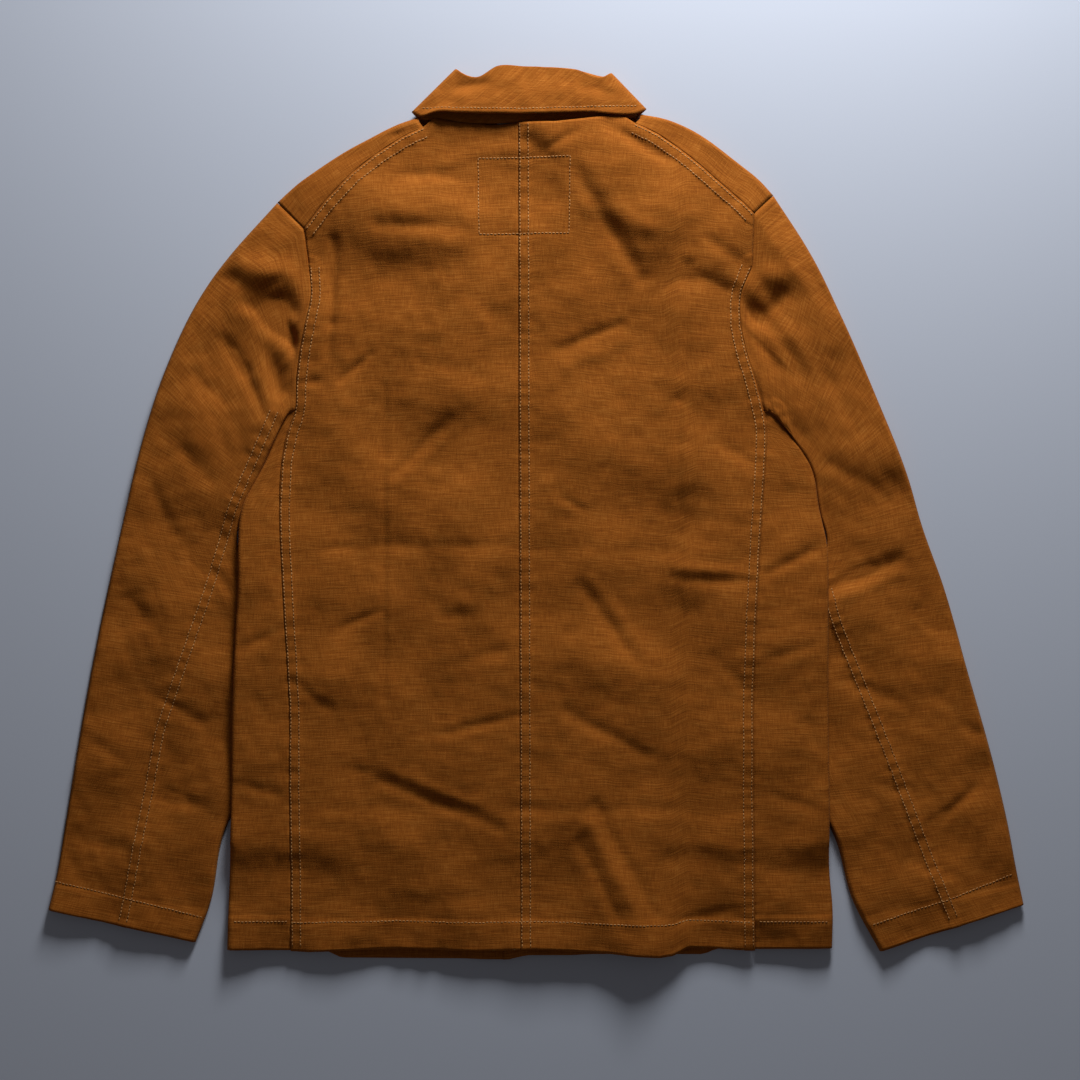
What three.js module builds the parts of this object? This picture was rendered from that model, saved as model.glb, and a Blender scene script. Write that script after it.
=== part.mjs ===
// A chore jacket in cotton duck, laid flat on its front with its back uppermost. Millimetres, +Z up.
// X runs across the jacket, +Y points to the collar, and the origin is on the surface it lies on, under
// the middle of its outline. Every panel is one wall of cloth: its middle surface is a grid worked out
// from tables of sections, and thicken() gives that surface its thickness. The wearer's left is at -X.
import * as THREE from "three";

// ---------------------------------------------------------------- driving dimensions
const CLOTH = 1.2; // wall of the duck, as one ply with its seams pressed
const COLLAR_WALL = 1.6; // two plies of the collar sewn together
const SEAM_GAP = 0.3; // between two panels along a seam
const ARMHOLE_GAP = 0.5; // between a sleeve head and the body
const LIFT_POCKET = CLOTH + 0.3; // how far a pocket holds the front off the surface
const LIFT_SLEEVE = 4.8; // how far a sleeve holds the side of the body up where it is tucked under
const LIFT_LEAF = 2.6; // how far a collar leaf holds the fronts up
const BUTTON = { radius: 8.5, thick: 3.2, dish: 1.0, x: -9, top: 243, pitch: 112, count: 5 };
const LIFT_BUTTON = BUTTON.thick + 0.3;
const LIFT_PLACKET = LIFT_BUTTON + CLOTH + 0.3; // of the inner front where it lies on the outer one
const CENTRE_X = -9; // the centre front and the centre back seam
const ARMPIT_Y = 88;

// The body from hem to armpit: the folded edge of each side, its side seam on the back, and the centre
// back seam. The fronts wrap round to the back as far as the side seams.
const BODY = [
  { y: -394, foldL: -272, seamL: -216, centre: -7, seamR: 192, foldR: 261 },
  { y: -384, foldL: -273, seamL: -216, centre: -7, seamR: 192, foldR: 261 },
  { y: -300, foldL: -271, seamL: -217, centre: -8, seamR: 191, foldR: 259 },
  { y: -200, foldL: -266, seamL: -217, centre: -9, seamR: 190, foldR: 257 },
  { y: -100, foldL: -264, seamL: -220, centre: -10, seamR: 193, foldR: 257 },
  { y: -30, foldL: -262, seamL: -224, centre: -11, seamR: 197, foldR: 256 },
  { y: 0, foldL: -260, seamL: -225, centre: -11, seamR: 199, foldR: 250 },
  { y: 50, foldL: -237, seamL: -223, centre: -12, seamR: 204, foldR: 234 },
  { y: ARMPIT_Y, foldL: -219, seamL: -212, centre: -12, seamR: 200, foldR: 209 },
];
// The armholes from armpit to shoulder: the edge of the back panel and that of the front panel.
const ARMHOLE = [
  { y: ARMPIT_Y, backL: -212, frontL: -215, backR: 200, frontR: 205 },
  { y: 125, backL: -210, frontL: -201, backR: 189, frontR: 191 },
  { y: 160, backL: -204, frontL: -193, backR: 180, frontR: 183 },
  { y: 190, backL: -199, frontL: -192, backR: 180, frontR: 182 },
  { y: 215, backL: -200, frontL: -197, backR: 190, frontR: 187 },
  { y: 250, backL: -206, frontL: -211, backR: 197, frontR: 199 },
];
// Along each shoulder from neck to tip: the folded edge, and the seam behind it where the back begins.
const SHOULDER_L = [
  { foldX: -104, foldY: 346, seamX: -99, seamY: 337 },
  { foldX: -138, foldY: 333, seamX: -131, seamY: 320 },
  { foldX: -172, foldY: 314, seamX: -161, seamY: 297 },
  { foldX: -203, foldY: 293, seamX: -187, seamY: 270 },
  { foldX: -217, foldY: 282, seamX: -197, seamY: 257 },
  { foldX: -228, foldY: 272, seamX: -204, seamY: 248 },
];
const SHOULDER_R = [
  { foldX: 92, foldY: 349, seamX: 87, seamY: 340 },
  { foldX: 122, foldY: 342, seamX: 115, seamY: 327 },
  { foldX: 152, foldY: 326, seamX: 141, seamY: 306 },
  { foldX: 181, foldY: 304, seamX: 166, seamY: 284 },
  { foldX: 196, foldY: 292, seamX: 180, seamY: 272 },
  { foldX: 209, foldY: 278, seamX: 191, seamY: 261 },
];
// The back neckline from the centre to the shoulder seam, and the front neckline from the placket edge.
const NECK_BACK_L = [{ x: -12, y: 341 }, { x: -38, y: 339 }, { x: -64, y: 341 }, { x: -90, y: 345 }];
const NECK_BACK_R = [{ x: -12, y: 341 }, { x: 16, y: 341 }, { x: 43, y: 344 }, { x: 74, y: 348 }];
const NECK_FRONT_L = [{ x: 11, y: 270 }, { x: -34, y: 276 }, { x: -62, y: 293 }, { x: -75, y: 306 }];
const NECK_FRONT_R = [{ x: -29, y: 270 }, { x: 20, y: 277 }, { x: 48, y: 294 }, { x: 62, y: 308 }];

// The sleeves from armhole to cuff: the outer folded edge, the inner one, and the height of the flat tube.
// The inner edge is tucked under the body between the third row and the last but two.
const SLEEVE_L = [
  { outX: -266, outY: 230, inX: -226, inY: 93, high: 8.4 },
  { outX: -297, outY: 187, inX: -235, inY: 64, high: 8 },
  { outX: -327, outY: 124, inX: -249, inY: 34, high: 7 },
  { outX: -353, outY: 40, inX: -265, inY: -4, high: 5.6 },
  { outX: -362, outY: 0, inX: -265, inY: -31, high: 4.5 },
  { outX: -375, outY: -55, inX: -240, inY: -82, high: 4.5 },
  { outX: -390, outY: -130, inX: -240, inY: -155, high: 4.5 },
  { outX: -404, outY: -207, inX: -252, inY: -232, high: 4.5 },
  { outX: -415, outY: -275, inX: -277, inY: -290, high: 4.5 },
  { outX: -423, outY: -322, inX: -284, inY: -347, high: 5.6 },
  { outX: -430, outY: -351, inX: -298, inY: -380, high: 5.6 },
];
const SLEEVE_R = [
  { outX: 237, outY: 235, inX: 216, inY: 93, high: 8.4 },
  { outX: 267, outY: 176, inX: 231, inY: 64, high: 8 },
  { outX: 299, outY: 103, inX: 245, inY: 34, high: 7 },
  { outX: 328, outY: 27, inX: 255, inY: -4, high: 5.6 },
  { outX: 341, outY: -12, inX: 260, inY: -31, high: 4.5 },
  { outX: 359, outY: -68, inX: 233, inY: -90, high: 4.5 },
  { outX: 382, outY: -142, inX: 231, inY: -160, high: 4.5 },
  { outX: 404, outY: -220, inX: 240, inY: -238, high: 4.5 },
  { outX: 417, outY: -275, inX: 265, inY: -292, high: 4.5 },
  { outX: 425, outY: -320, inX: 277, inY: -345, high: 5.6 },
  { outX: 430, outY: -347, inX: 300, inY: -388, high: 5.6 },
];

// The largest swells and folds of the upper layer: a line from (x0, y0) to (x1, y1), the half width of
// the fold across it, and its height.
const FOLDS = [
  { x0: -130, y0: 210, x1: -60, y1: 225, half: 45, high: 2.4 },
  { x0: 60, y0: 245, x1: 120, y1: 185, half: 45, high: 3.0 },
  { x0: -190, y0: 150, x1: -160, y1: 20, half: 26, high: 2.2 },
  { x0: 135, y0: 180, x1: 128, y1: -40, half: 22, high: 2.6 },
  { x0: -120, y0: -30, x1: -60, y1: -60, half: 40, high: 2.2 },
  { x0: 30, y0: 60, x1: 80, y1: 20, half: 34, high: 2.4 },
  { x0: -180, y0: -150, x1: -60, y1: -190, half: 34, high: 2.0 },
  { x0: 20, y0: -120, x1: 110, y1: -150, half: 34, high: 2.4 },
  { x0: -150, y0: -290, x1: -70, y1: -340, half: 36, high: 2.0 },
  { x0: 40, y0: -250, x1: 80, y1: -384, half: 30, high: 4.2 },
  { x0: 140, y0: -230, x1: 170, y1: -330, half: 34, high: 1.8 },
];

// ---------------------------------------------------------------- small helpers
const mix = (a, b, t) => a + (b - a) * t;
// 0 below a, 1 above b, and a smooth ramp between them; a may be the larger.
function ramp(a, b, x) {
  const t = Math.min(1, Math.max(0, (x - a) / (b - a)));
  return t * t * (3 - 2 * t);
}

// A named column of a table at y, by straight lines between its rows, which are in order of y.
function at(table, column, y) {
  const last = table.length - 1;
  let i = 0;
  while (i < last - 1 && table[i + 1].y < y) i++;
  const t = Math.min(1, Math.max(0, (y - table[i].y) / (table[i + 1].y - table[i].y)));
  return mix(table[i][column], table[i + 1][column], t);
}

// Height of the largest folds over the point (x, y): each falls off smoothly across its line and round
// its ends.
function foldHeight(x, y) {
  let z = 0;
  for (const f of FOLDS) {
    const dx = f.x1 - f.x0;
    const dy = f.y1 - f.y0;
    const t = Math.min(1, Math.max(0, ((x - f.x0) * dx + (y - f.y0) * dy) / (dx * dx + dy * dy)));
    const away = Math.hypot(x - f.x0 - t * dx, y - f.y0 - t * dy) / f.half;
    z += f.high * Math.exp(-away * away);
  }
  return z;
}

// The middle surface of the upper layer, which holds the backs and the strips that wrap round to them.
// It clears the placket at the centre, the tucked sleeves at the sides and the collar at the neck.
const FLAT_LEVEL = 4.8;
const CENTRE_LEVEL = 8.0;
const SIDE_LEVEL = 9.6;
function upperLevel(x, y) {
  const off = Math.abs(x - CENTRE_X);
  const centre = (CENTRE_LEVEL - FLAT_LEVEL) * ramp(95, 50, off);
  const side = (SIDE_LEVEL - FLAT_LEVEL) * ramp(140, 180, off) * ramp(20, -30, y) * ramp(-320, -290, y);
  const neck = (CENTRE_LEVEL - FLAT_LEVEL) * ramp(170, 230, y) * ramp(190, 120, off);
  return FLAT_LEVEL + Math.max(centre, side, neck) + foldHeight(x, y);
}

// ---------------------------------------------------------------- cloth as a thickened surface
// Grids of points that share borders are gathered into one surface; thicken() moves each vertex half the
// wall to either side along its normal and closes the free edges with a rim.
class Cloth {
  constructor() {
    this.points = [];
    this.triangles = [];
    this.index = new Map();
  }
  vertex(p) {
    const key = p.map((c) => Math.round(c * 1000)).join();
    if (!this.index.has(key)) {
      this.index.set(key, this.points.length);
      this.points.push(new THREE.Vector3(...p));
    }
    return this.index.get(key);
  }
  // rows is a list of rows of points; closed joins the last column to the first.
  grid(rows, closed = false) {
    const ids = rows.map((row) => row.map((p) => this.vertex(p)));
    const columns = ids[0].length;
    for (let i = 0; i + 1 < ids.length; i++)
      for (let j = 0; j + (closed ? 0 : 1) < columns; j++) {
        const k = (j + 1) % columns;
        this.face(ids[i][j], ids[i][k], ids[i + 1][k]);
        this.face(ids[i][j], ids[i + 1][k], ids[i + 1][j]);
      }
    return this;
  }
  face(a, b, c) {
    if (a !== b && b !== c && c !== a) this.triangles.push([a, b, c]);
  }
  thicken(wall) {
    const normals = this.points.map(() => new THREE.Vector3());
    const edges = new Map();
    for (const [a, b, c] of this.triangles) {
      const [pa, pb, pc] = [a, b, c].map((i) => this.points[i]);
      const n = pb.clone().sub(pa).cross(pc.clone().sub(pa)).normalize();
      const corners = [[a, pa, pb, pc], [b, pb, pc, pa], [c, pc, pa, pb]];
      for (const [i, p, q, r] of corners)
        normals[i].addScaledVector(n, q.clone().sub(p).angleTo(r.clone().sub(p)));
      for (const [i, j] of [[a, b], [b, c], [c, a]]) edges.set(i + "," + j, [i, j]);
    }
    const sides = [1, -1].map((s) =>
      this.points.map((p, i) => p.clone().addScaledVector(normals[i].clone().normalize(), (s * wall) / 2)));
    const inner = this.points.length;
    const position = sides.flat().flatMap((p) => p.toArray());
    const index = [];
    for (const [a, b, c] of this.triangles) index.push(a, b, c, inner + a, inner + c, inner + b);
    for (const [i, j] of edges.values())
      if (!edges.has(j + "," + i)) index.push(j, i, inner + i, j, inner + i, inner + j);
    const made = new THREE.BufferGeometry();
    made.setAttribute("position", new THREE.Float32BufferAttribute(position, 3));
    made.setIndex(index);
    made.computeVertexNormals();
    return made;
  }
}

// ---------------------------------------------------------------- the fronts
// Rows go up the panel from hem to neck, and columns from the placket edge out to the side. The hip
// pocket covers columns 3 to 7 and the chest pocket columns 3 to 6.
const FRONT_COLUMNS = [0, 0.2, 0.28, 0.32, 0.46, 0.62, 0.78, 0.93, 0.965, 1];
const SKIRT_ROWS = [-384, -362, -334, -326, -300, -290, -233, -200, -140, -132, -100, -60, -30, 0,
  34, 40, 50, 70, ARMPIT_Y];
const CHEST_ROWS = [125, 160, 168, 190, 215];
const FRONT_ROWS = [-394, ...SKIRT_ROWS, ...CHEST_ROWS, 250];
const NECK_COLUMN = 4; // the column that ends at the neck point
const HIP_POCKET = { bottom: -326, top: -140, first: 3, last: 7 };
const CHEST_POCKET = { bottom: 40, top: 160, first: 3, last: 6 };
const ARC_STEPS = 4;

const holds = (pocket, y, j) =>
  pocket && y >= pocket.bottom && y <= pocket.top && j >= pocket.first && j <= pocket.last;

// Height of the outer face of a front above the surface at a grid point: over a pocket, over the buttons
// or the other front, over the tucked sleeve, and over the collar leaf.
function frontLift(side, y, j) {
  const pocket = side.pockets.some((p) => holds(p, y, j)) ? LIFT_POCKET : 0;
  const placket = j < 2 ? side.placketLift : 0;
  const sleeve = j > 5 && y < -20 && y > -295 ? LIFT_SLEEVE : 0;
  const leaf = y > 210 && j < 7 ? LIFT_LEAF : 0;
  return Math.max(placket, leaf, sleeve + pocket);
}

// The outer edge of the front's lower layer: the start of the side fold up to the armpit, and the
// armhole above it.
function frontEdge(side, y) {
  if (y >= ARMPIT_Y) return at(ARMHOLE, side.frontKey, y);
  return side.fold(y).start;
}

// The fold of cloth at a side or shoulder: the two levels of the middle surface it joins, its radius, and
// where its arc starts, one radius inside the folded edge.
function foldOf(side, y) {
  const low = frontLift(side, y, FRONT_COLUMNS.length - 1) + CLOTH / 2;
  const edge = at(BODY, side.foldKey, y);
  const high = upperLevel(edge, y);
  const radius = (high - low) / 2;
  return { low, high, radius, start: edge - side.sign * (CLOTH / 2 + radius) };
}

const LEFT = {
  sign: -1, name: "left", placketX: 11, placketLift: LIFT_BUTTON, foldKey: "foldL", seamKey: "seamL",
  backKey: "backL", frontKey: "frontL", shoulder: SHOULDER_L, neckBack: NECK_BACK_L, neckFront: NECK_FRONT_L,
  pockets: [HIP_POCKET, CHEST_POCKET], sleeve: SLEEVE_L,
};
const RIGHT = {
  sign: 1, name: "right", placketX: -29, placketLift: LIFT_PLACKET, foldKey: "foldR", seamKey: "seamR",
  backKey: "backR", frontKey: "frontR", shoulder: SHOULDER_R, neckBack: NECK_BACK_R, neckFront: NECK_FRONT_R,
  pockets: [HIP_POCKET], sleeve: SLEEVE_R,
};
for (const side of [LEFT, RIGHT]) side.fold = (y) => foldOf(side, y);

const frontX = (side, y, j) => mix(side.placketX, frontEdge(side, y), FRONT_COLUMNS[j]);
const frontPoint = (side, y, j) => [frontX(side, y, j), y, frontLift(side, y, j) + CLOTH / 2];

// One row over the side fold: the arc from the lower layer to the upper, then the strip to the side seam.
function sideWrap(side, y) {
  const f = side.fold(y);
  const seam = at(BODY, side.seamKey, y) + side.sign * SEAM_GAP;
  const row = [];
  for (let k = 1; k <= ARC_STEPS; k++) {
    const a = (Math.PI * k) / ARC_STEPS;
    row.push([
      f.start + side.sign * f.radius * Math.sin(a), y, mix(f.low, f.high, (1 - Math.cos(a)) / 2)]);
  }
  for (const t of [0.35, 0.7, 1]) {
    const x = mix(f.start, seam, t);
    row.push([x, y, upperLevel(mix(at(BODY, side.foldKey, y), seam, t), y)]);
  }
  return row;
}

// Where the shoulder fold's arc starts and the direction across the shoulder, for row k of its table.
function shoulderFold(side, k) {
  const s = side.shoulder[k];
  const before = side.shoulder[Math.max(0, k - 1)];
  const after = side.shoulder[Math.min(side.shoulder.length - 1, k + 1)];
  const along = new THREE.Vector2(after.foldX - before.foldX, after.foldY - before.foldY).normalize();
  const out = new THREE.Vector2(-along.y, along.x).multiplyScalar(side.sign > 0 ? 1 : -1);
  const low = frontLift(side, 250, NECK_COLUMN + k) + CLOTH / 2;
  const high = upperLevel(s.foldX, s.foldY);
  const radius = (high - low) / 2;
  const start = new THREE.Vector2(s.foldX, s.foldY).addScaledVector(out, -(CLOTH / 2 + radius));
  return { s, out, low, high, radius, start };
}

function frontCloth(side) {
  const cloth = new Cloth();
  const lower = (y) => FRONT_COLUMNS.map((_, j) => frontPoint(side, y, j));
  const skirt = FRONT_ROWS.filter((y) => y <= ARMPIT_Y);
  cloth.grid(order(side, skirt.map((y) => lower(y).concat(sideWrap(side, y)))));

  const chest = FRONT_ROWS.filter((y) => y >= ARMPIT_Y).map(lower);
  const shoulder = side.shoulder.map((_, k) => shoulderFold(side, k));
  const top = FRONT_COLUMNS.map((_, j) => {
    if (j < NECK_COLUMN) return [side.neckFront[j].x, side.neckFront[j].y, frontPoint(side, 250, j)[2]];
    const f = shoulder[j - NECK_COLUMN];
    return [f.start.x, f.start.y, f.low];
  });
  const last = chest.at(-1);
  chest.push(last.map((p, j) => p.map((c, axis) => mix(c, top[j][axis], 0.5))), top);
  cloth.grid(order(side, chest));

  const wrap = [top.slice(NECK_COLUMN)];
  for (let k = 1; k <= ARC_STEPS; k++) {
    const a = (Math.PI * k) / ARC_STEPS;
    wrap.push(shoulder.map((f) => [
      f.start.x + f.out.x * f.radius * Math.sin(a), f.start.y + f.out.y * f.radius * Math.sin(a),
      mix(f.low, f.high, (1 - Math.cos(a)) / 2)]));
  }
  for (const t of [0.5, 1])
    wrap.push(shoulder.map((f) => {
      const x = mix(f.start.x, f.s.seamX, t);
      const y = mix(f.start.y, f.s.seamY, t);
      return [x, y, upperLevel(mix(f.s.foldX, f.s.seamX, t), mix(f.s.foldY, f.s.seamY, t))];
    }));
  cloth.grid(order(side, wrap));
  return { cloth, wrap };
}

// A grid's rows with their columns in the order that makes its normals point out of the jacket.
const order = (side, rows) => (side.sign < 0 ? rows : rows.map((row) => [...row].reverse()));

// A patch pocket: the front's own points under it, moved out by one wall and a gap.
function pocketCloth(side, pocket) {
  const rows = FRONT_ROWS.filter((y) => y >= pocket.bottom && y <= pocket.top);
  return new Cloth().grid(order(side, rows.map((y) => {
    const row = [];
    for (let j = pocket.first; j <= pocket.last; j++) {
      const [x, , z] = frontPoint(side, y, j);
      row.push([x, y, z - LIFT_POCKET]);
    }
    return row;
  })));
}

// ---------------------------------------------------------------- the backs
const BACK_ROWS = [...SKIRT_ROWS, ...CHEST_ROWS];
const BACK_STEPS_TO_SHOULDER = [0.2, 0.42, 0.62, 0.8, 0.92, 1];

// The outer edge of a back panel: the side seam, and the armhole above it.
function backEdge(side, y) {
  const edge = y <= ARMPIT_Y ? at(BODY, side.seamKey, y) : at(ARMHOLE, side.backKey, y);
  return edge - side.sign * SEAM_GAP;
}

function backCloth(side) {
  const top = side.neckBack.map((p) => [p.x, p.y]).concat(side.shoulder.map((s) => [s.seamX, s.seamY - 0.4]));
  const share = top.map(([x]) => (x - top[0][0]) / (top.at(-1)[0] - top[0][0]));
  const inner = (y) => at(BODY, "centre", y) + (side.sign * SEAM_GAP) / 2;
  const plan = BACK_ROWS.map((y) => share.map((t) => [mix(inner(y), backEdge(side, y), t), y]));
  const below = plan.at(-1);
  top[0] = [inner(ARMPIT_Y), top[0][1]];
  top[top.length - 1][0] = side.shoulder.at(-1).seamX - side.sign * SEAM_GAP;
  for (const t of BACK_STEPS_TO_SHOULDER)
    plan.push(below.map(([x, y], j) => {
      const [tx, ty] = top[j];
      return [mix(x, tx, t), mix(y, ty, t)];
    }));
  const rows = plan.map((row) => row.map(([x, y]) => [x, y, upperLevel(x, y)]));
  return new Cloth().grid(order(side, rows).map((row) => [...row].reverse()));
}

// ---------------------------------------------------------------- the sleeves
// The armhole as a loop of points, from the armpit up the back, round the shoulder tip and down the
// front, so that the sleeve head can follow it.
function armholeLoop(side, wrap) {
  const armpit = sideWrap(side, ARMPIT_Y);
  const arc = armpit.slice(0, ARC_STEPS);
  const strip = armpit.slice(ARC_STEPS).reverse().slice(0, -1);
  const back = CHEST_ROWS
    .map((y) => [at(ARMHOLE, side.backKey, y), y, upperLevel(at(ARMHOLE, side.backKey, y), y)]);
  const tip = wrap.map((row) => row.at(-1)).reverse();
  const front = FRONT_ROWS.filter((y) => y > ARMPIT_Y).reverse()
    .map((y) => frontPoint(side, y, FRONT_COLUMNS.length - 1));
  const start = frontPoint(side, ARMPIT_Y, FRONT_COLUMNS.length - 1);
  const middle = Math.floor(ARC_STEPS / 2) - 1;
  const upper = arc.slice(middle).concat([...strip].reverse(), back);
  const tipMiddle = 2 + Math.floor(ARC_STEPS / 2);
  return {
    upper: upper.concat(tip.slice(0, tipMiddle)),
    lower: tip.slice(tipMiddle).concat(front, [start], arc.slice(0, middle)),
  };
}

// How far along its half of the loop each point lies, from 0 to 1 by length.
function shares(points, last) {
  const far = [0];
  const all = points.concat([last]);
  for (let i = 1; i < all.length; i++)
    far.push(far[i - 1] + Math.hypot(all[i][0] - all[i - 1][0], all[i][1] - all[i - 1][1], all[i][2] - all[i - 1][2]));
  return far.slice(0, -1).map((d) => d / far.at(-1));
}

function sleeveCloth(side, wrap) {
  const loop = armholeLoop(side, wrap);
  const upShare = shares(loop.upper, loop.lower[0]);
  const downShare = shares(loop.lower, loop.upper[0]);
  const head = loop.upper.concat(loop.lower).map(([x, y, z]) => {
    const up = Math.min(1, Math.max(-1, (180 - y) / 90));
    return [x + side.sign * ARMHOLE_GAP, y + 2 * ARMHOLE_GAP * up, z];
  });
  // One ring: out along the upper layer from the inner fold to the outer one, then back under it. Near
  // a fold the layers close on each other along an arc.
  const ring = (s) => {
    const width = Math.hypot(s.outX - s.inX, s.outY - s.inY) - CLOTH;
    const radius = (s.high - CLOTH) / 2;
    const point = (t, up) => {
      const near = Math.min(1, Math.min(t, 1 - t) * width / radius);
      const rise = radius * Math.sqrt(1 - (1 - near) ** 2);
      const w = mix(CLOTH / 2, width + CLOTH / 2, t) / (width + CLOTH);
      return [mix(s.inX, s.outX, w), mix(s.inY, s.outY, w), s.high / 2 + up * rise];
    };
    return upShare.map((t) => point(t, 1)).concat(downShare.map((t) => point(1 - t, -1)));
  };
  const rows = [head, ...side.sleeve.map(ring)];
  return new Cloth().grid(order(side, rows), true);
}

// ---------------------------------------------------------------- the collar
// A flattened loop of two plies. From the neck seam it stands up to the roll line and falls back outside
// itself: over the back of the neck on top, and down to the two points on the fronts beneath.
const COLLAR_TURN = { left: { seam: [-95, 347], roll: [-66, 381] }, right: { seam: [82, 349], roll: [58, 379] } };
const COLLAR_BACK = [
  { seam: [-84, 347], roll: [-50, 379], edge: [-86, 351] },
  { seam: [-58, 343], roll: [-33, 387], edge: [-55, 349] },
  { seam: [-12, 343.5], roll: [-8, 387], edge: [-12, 349] },
  { seam: [42, 346.5], roll: [32, 385], edge: [42, 351] },
];
const COLLAR_FRONT = [
  { seam: [-89.5, 330], roll: [-52, 362], edge: [-98, 300] },
  { seam: [-60, 295.5], roll: [-34, 332], edge: [-92, 262] },
  { seam: [-15, 276.5], roll: [-15, 287], edge: [-84, 227] },
];
const COLLAR_LEVEL = { stand: 8.2, fall: 12.2, edge: 14.0, underStand: 3.4, underFall: 0.8 };
// Steps over the collar from seam to edge: how far along the stand or fall, and how far round the roll.
const COLLAR_STEPS = [
  { part: "stand", t: 0, roll: 0 }, { part: "stand", t: 0.5, roll: 0 }, { part: "stand", t: 1, roll: 0 },
  { part: "roll", t: 1, roll: 0.25 }, { part: "roll", t: 1, roll: 0.5 }, { part: "roll", t: 1, roll: 0.75 },
  { part: "fall", t: 1, roll: 1 }, { part: "fall", t: 0.5, roll: 1 }, { part: "fall", t: 0, roll: 1 },
];

// The point of a collar section at a step, where low and high are the levels of the stand and the fall.
function collarPoint(section, step, stand, fall, edgeExtra) {
  const end = step.part === "fall" ? section.edge : section.seam;
  const round = Math.sin(Math.PI * step.roll) * Math.abs(fall - stand) * 0.5;
  const dx = section.roll[0] - section.seam[0];
  const dy = section.roll[1] - section.seam[1];
  const long = Math.hypot(dx, dy);
  const x = mix(end[0], section.roll[0], step.t) + (dx / long) * round;
  const y = mix(end[1], section.roll[1], step.t) + (dy / long) * round;
  const z = mix(stand, fall, (1 - Math.cos(Math.PI * step.roll)) / 2);
  return [x, y, z + (step.part === "fall" ? edgeExtra * (1 - step.t) : 0)];
}

function collarCloth() {
  const L = COLLAR_LEVEL;
  const rows = [];
  const under = (section, flip) => COLLAR_STEPS.map((step) => {
    const mirrored = flip
      ? Object.fromEntries(Object.entries(section).map(([k, [x, y]]) => [k, [2 * CENTRE_X + 4 - x, y + 2]]))
      : section;
    return collarPoint(mirrored, step, L.underStand, L.underFall, 0);
  });
  // Round a side of the neck: each point of the section turns from the upper level to the lower one on
  // an arc, so that the fall passes outside the stand.
  const turn = (line, sign) => {
    const section = { ...line, edge: line.seam };
    const dx = line.roll[0] - line.seam[0];
    const dy = line.roll[1] - line.seam[1];
    const long = Math.hypot(dx, dy);
    const out = [(sign * Math.abs(dy)) / long, Math.abs(dx) / long];
    return [0, 0.25, 0.5, 0.75, 1].map((k) => COLLAR_STEPS.map((step) => {
      const high = collarPoint(section, step, L.stand, L.fall, 0);
      const low = collarPoint(section, step, L.underStand, L.underFall, 0);
      const radius = (high[2] - low[2]) / 2;
      const a = Math.PI * k;
      const r = radius * Math.sin(a);
      return [mix(high[0], low[0], k) + out[0] * r, mix(high[1], low[1], k) + out[1] * r,
        mix(low[2], high[2], (1 + Math.cos(a)) / 2)];
    }));
  };
  const rise = L.edge - L.fall;
  rows.push(...[...COLLAR_FRONT].reverse().map((s) => under(s, false)));
  rows.push(...turn(COLLAR_TURN.left, -1).reverse());
  rows.push(...COLLAR_BACK.map((s) => COLLAR_STEPS.map((step) => collarPoint(s, step, L.stand, L.fall, rise))));
  rows.push(...turn(COLLAR_TURN.right, 1));
  rows.push(...COLLAR_FRONT.map((s) => under(s, true)));
  return new Cloth().grid(rows);
}

// ---------------------------------------------------------------- the buttons
// A four-hole button without its holes: a disc with a rounded rim, dished on the outer face.
function buttonGeometry() {
  const { radius, thick, dish } = BUTTON;
  const profile = [[0, 0], [radius - 1, 0], [radius, 0.9], [radius, thick - 0.9], [radius - 1, thick],
    [radius - 2.4, thick], [radius - 3.4, thick - dish], [0, thick - dish]];
  const lathe = new THREE.LatheGeometry(profile.map(([r, z]) => new THREE.Vector2(r, z)), 20);
  // turned so that the dished face is the outer one, which lies downwards, and the flat face meets the cloth
  return lathe.rotateX(Math.PI / 2).rotateX(Math.PI).translate(0, 0, thick);
}

// ---------------------------------------------------------------- the jacket
const duck = new THREE.MeshStandardMaterial({ color: 0x8a4f16, roughness: 0.92, metalness: 0 });
const horn = new THREE.MeshStandardMaterial({ color: 0x3a2212, roughness: 0.45, metalness: 0 });

const jacket = new THREE.Group();
function add(name, geometry, material) {
  const mesh = new THREE.Mesh(geometry, material);
  mesh.name = name;
  jacket.add(mesh);
  return mesh;
}

for (const side of [LEFT, RIGHT]) {
  const front = frontCloth(side);
  add(`front_${side.name}`, front.cloth.thicken(CLOTH), duck);
  add(`back_${side.name}`, backCloth(side).thicken(CLOTH), duck);
  add(`sleeve_${side.name}`, sleeveCloth(side, front.wrap).thicken(CLOTH), duck);
  add(`hip_pocket_${side.name}`, pocketCloth(side, HIP_POCKET).thicken(CLOTH), duck);
}
add("chest_pocket", pocketCloth(LEFT, CHEST_POCKET).thicken(CLOTH), duck);
add("collar", collarCloth().thicken(COLLAR_WALL), duck);
for (let i = 0; i < BUTTON.count; i++) {
  const button = add(`button_${i + 1}`, buttonGeometry(), horn);
  button.position.set(BUTTON.x, BUTTON.top - i * BUTTON.pitch, 0);
}

// The origin goes under the middle of the jacket's outline, on the surface it lies on.
const outline = new THREE.Box3().setFromObject(jacket, true);
const middle = outline.getCenter(new THREE.Vector3());
for (const mesh of jacket.children) mesh.position.sub(new THREE.Vector3(middle.x, middle.y, outline.min.z));

export default jacket;
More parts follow.
